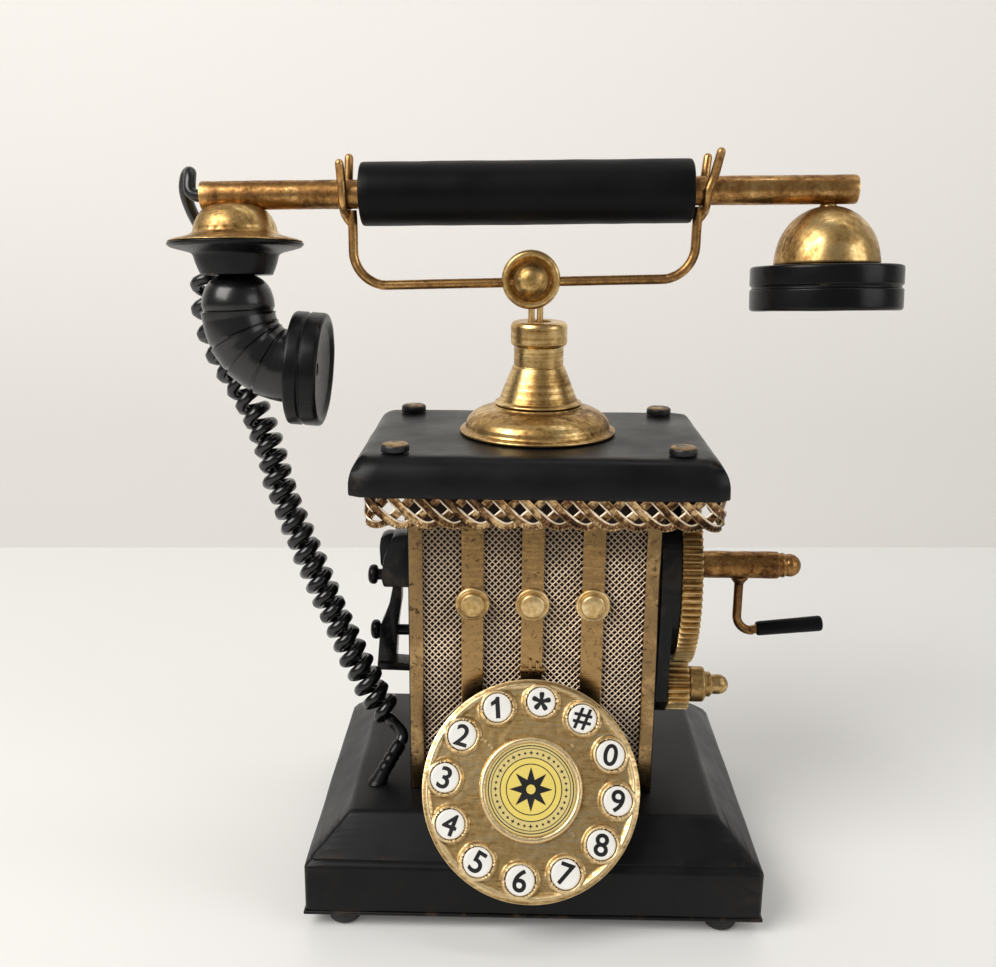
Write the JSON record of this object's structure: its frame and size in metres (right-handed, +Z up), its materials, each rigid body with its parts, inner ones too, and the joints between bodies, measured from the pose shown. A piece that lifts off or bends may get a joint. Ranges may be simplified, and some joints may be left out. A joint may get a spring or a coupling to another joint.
{
  "type": "crank telephone",
  "caption": "Table-top ornamental telephone: push-button dial, geared side crank, braided trim and a lift-off handset resting on a wire cradle.",
  "frame": {"origin": "middle of the whole object's footprint, on the table that its four feet stand on", "axes": "+X to the right of a person facing the dial, +Y away from them towards the back, +Z up"},
  "size_m": [0.2425, 0.1307, 0.249],
  "materials": {
    "black_paint": "satin black paint, worn at edges",
    "black_plastic": "satin black moulding",
    "antique_brass": "antique brass with brown patina",
    "dial_gold": "pale antique gold, brushed",
    "key_white": "white key caps",
    "inner_plastic": "matt black",
    "cord_black": "glossy black",
    "foot_rubber": "matt black rubber",
    "spring_steel": "bright wire",
    "magneto_iron": "dull grey"
  },
  "bodies": {
    "root": {"base_plinth": "black_paint", "base_plate": "black_paint", "foot_front_left": "foot_rubber", "foot_front_right": "foot_rubber", "foot_rear_left": "foot_rubber", "foot_rear_right": "foot_rubber", "housing_shell": "black_paint", "front_mesh": "antique_brass", "corner_strip_left": "antique_brass", "corner_strip_right": "antique_brass", "strap_left": "antique_brass", "strap_centre": "antique_brass", "strap_right": "antique_brass", "lattice_trim": "antique_brass", "top_cover": "black_paint", "cover_bolt_front_left": "black_paint", "cover_bolt_front_right": "black_paint", "cover_bolt_rear_left": "black_paint", "cover_bolt_rear_right": "black_paint", "pedestal_flange": "antique_brass", "pedestal_stem": "antique_brass", "hook_spring": "spring_steel", "gear_plate": "black_paint", "crank_bearing": "antique_brass", "magneto": "magneto_iron", "side_bracket": "black_paint", "dial_plate": "dial_gold", "dial_back": "inner_plastic", "dial_medallion": "dial_gold", "cord_curl": "cord_black", "cord_tail": "cord_black", "cord_grommet": "cord_black"},
    "handset": {"handset_tube": "antique_brass", "grip_sleeve": "black_paint", "transmitter_dome": "antique_brass", "transmitter_cup": "black_plastic", "transmitter_elbow": "black_plastic", "mouthpiece": "black_plastic", "receiver_dome": "antique_brass", "receiver_cap": "black_plastic", "cord_head": "cord_black"},
    "cradle": {"cradle_wire": "antique_brass", "cradle_boss": "antique_brass"},
    "crank": {"crank_gear": "antique_brass", "crank_shaft": "antique_brass"},
    "crank_grip": {"crank_grip": "black_paint"},
    "pinion": {"pinion": "antique_brass"},
    "key_star": {"key_star": "key_white"},
    "key_hash": {"key_hash": "key_white"},
    "key_0": {"key_0": "key_white"},
    "key_9": {"key_9": "key_white"},
    "key_8": {"key_8": "key_white"},
    "key_7": {"key_7": "key_white"},
    "key_6": {"key_6": "key_white"},
    "key_5": {"key_5": "key_white"},
    "key_4": {"key_4": "key_white"},
    "key_3": {"key_3": "key_white"},
    "key_2": {"key_2": "key_white"},
    "key_1": {"key_1": "key_white"}
  },
  "joints": [
    {"name": "handset_lift", "type": "slide", "parent": "root", "child": "handset", "axis": [0, 0, 1], "range_m": [0, 0.06], "deforming": ["cord_curl"]},
    {"name": "cradle_rise", "type": "slide", "parent": "root", "child": "cradle", "axis": [0, 0, 1], "range_m": [0, 0.003], "deforming": ["hook_spring"]},
    {"name": "crank_turn", "type": "hinge", "parent": "root", "child": "crank", "pos_m": [0.0512, 0.0058, 0.1082], "axis": [1, 0, 0], "continuous": true},
    {"name": "grip_spin", "type": "hinge", "parent": "crank", "child": "crank_grip", "pos_m": [0.0812, 0.0058, 0.084], "axis": [0.9945, 0, 0.1045], "continuous": true},
    {"name": "pinion_spin", "type": "hinge", "parent": "root", "child": "pinion", "pos_m": [0.0512, -0.0132, 0.07074], "axis": [1, 0, 0], "continuous": true},
    {"name": "key_star_press", "type": "slide", "parent": "root", "child": "key_star", "axis": [0, 0.866, -0.5], "range_m": [0, 0.0012], "stiffness_N_per_m": 300, "springref_m": -0.001},
    {"name": "key_hash_press", "type": "slide", "parent": "root", "child": "key_hash", "axis": [0, 0.866, -0.5], "range_m": [0, 0.0012], "stiffness_N_per_m": 300, "springref_m": -0.001},
    {"name": "key_0_press", "type": "slide", "parent": "root", "child": "key_0", "axis": [0, 0.866, -0.5], "range_m": [0, 0.0012], "stiffness_N_per_m": 300, "springref_m": -0.001},
    {"name": "key_9_press", "type": "slide", "parent": "root", "child": "key_9", "axis": [0, 0.866, -0.5], "range_m": [0, 0.0012], "stiffness_N_per_m": 300, "springref_m": -0.001},
    {"name": "key_8_press", "type": "slide", "parent": "root", "child": "key_8", "axis": [0, 0.866, -0.5], "range_m": [0, 0.0012], "stiffness_N_per_m": 300, "springref_m": -0.001},
    {"name": "key_7_press", "type": "slide", "parent": "root", "child": "key_7", "axis": [0, 0.866, -0.5], "range_m": [0, 0.0012], "stiffness_N_per_m": 300, "springref_m": -0.001},
    {"name": "key_6_press", "type": "slide", "parent": "root", "child": "key_6", "axis": [0, 0.866, -0.5], "range_m": [0, 0.0012], "stiffness_N_per_m": 300, "springref_m": -0.001},
    {"name": "key_5_press", "type": "slide", "parent": "root", "child": "key_5", "axis": [0, 0.866, -0.5], "range_m": [0, 0.0012], "stiffness_N_per_m": 300, "springref_m": -0.001},
    {"name": "key_4_press", "type": "slide", "parent": "root", "child": "key_4", "axis": [0, 0.866, -0.5], "range_m": [0, 0.0012], "stiffness_N_per_m": 300, "springref_m": -0.001},
    {"name": "key_3_press", "type": "slide", "parent": "root", "child": "key_3", "axis": [0, 0.866, -0.5], "range_m": [0, 0.0012], "stiffness_N_per_m": 300, "springref_m": -0.001},
    {"name": "key_2_press", "type": "slide", "parent": "root", "child": "key_2", "axis": [0, 0.866, -0.5], "range_m": [0, 0.0012], "stiffness_N_per_m": 300, "springref_m": -0.001},
    {"name": "key_1_press", "type": "slide", "parent": "root", "child": "key_1", "axis": [0, 0.866, -0.5], "range_m": [0, 0.0012], "stiffness_N_per_m": 300, "springref_m": -0.001}
  ],
  "couplings": [
    {"joint": "pinion_spin", "follows": "crank_turn", "ratio": -4.25},
    {"joint": "cradle_rise", "follows": "handset_lift", "ratio": 0.05}
  ]
}
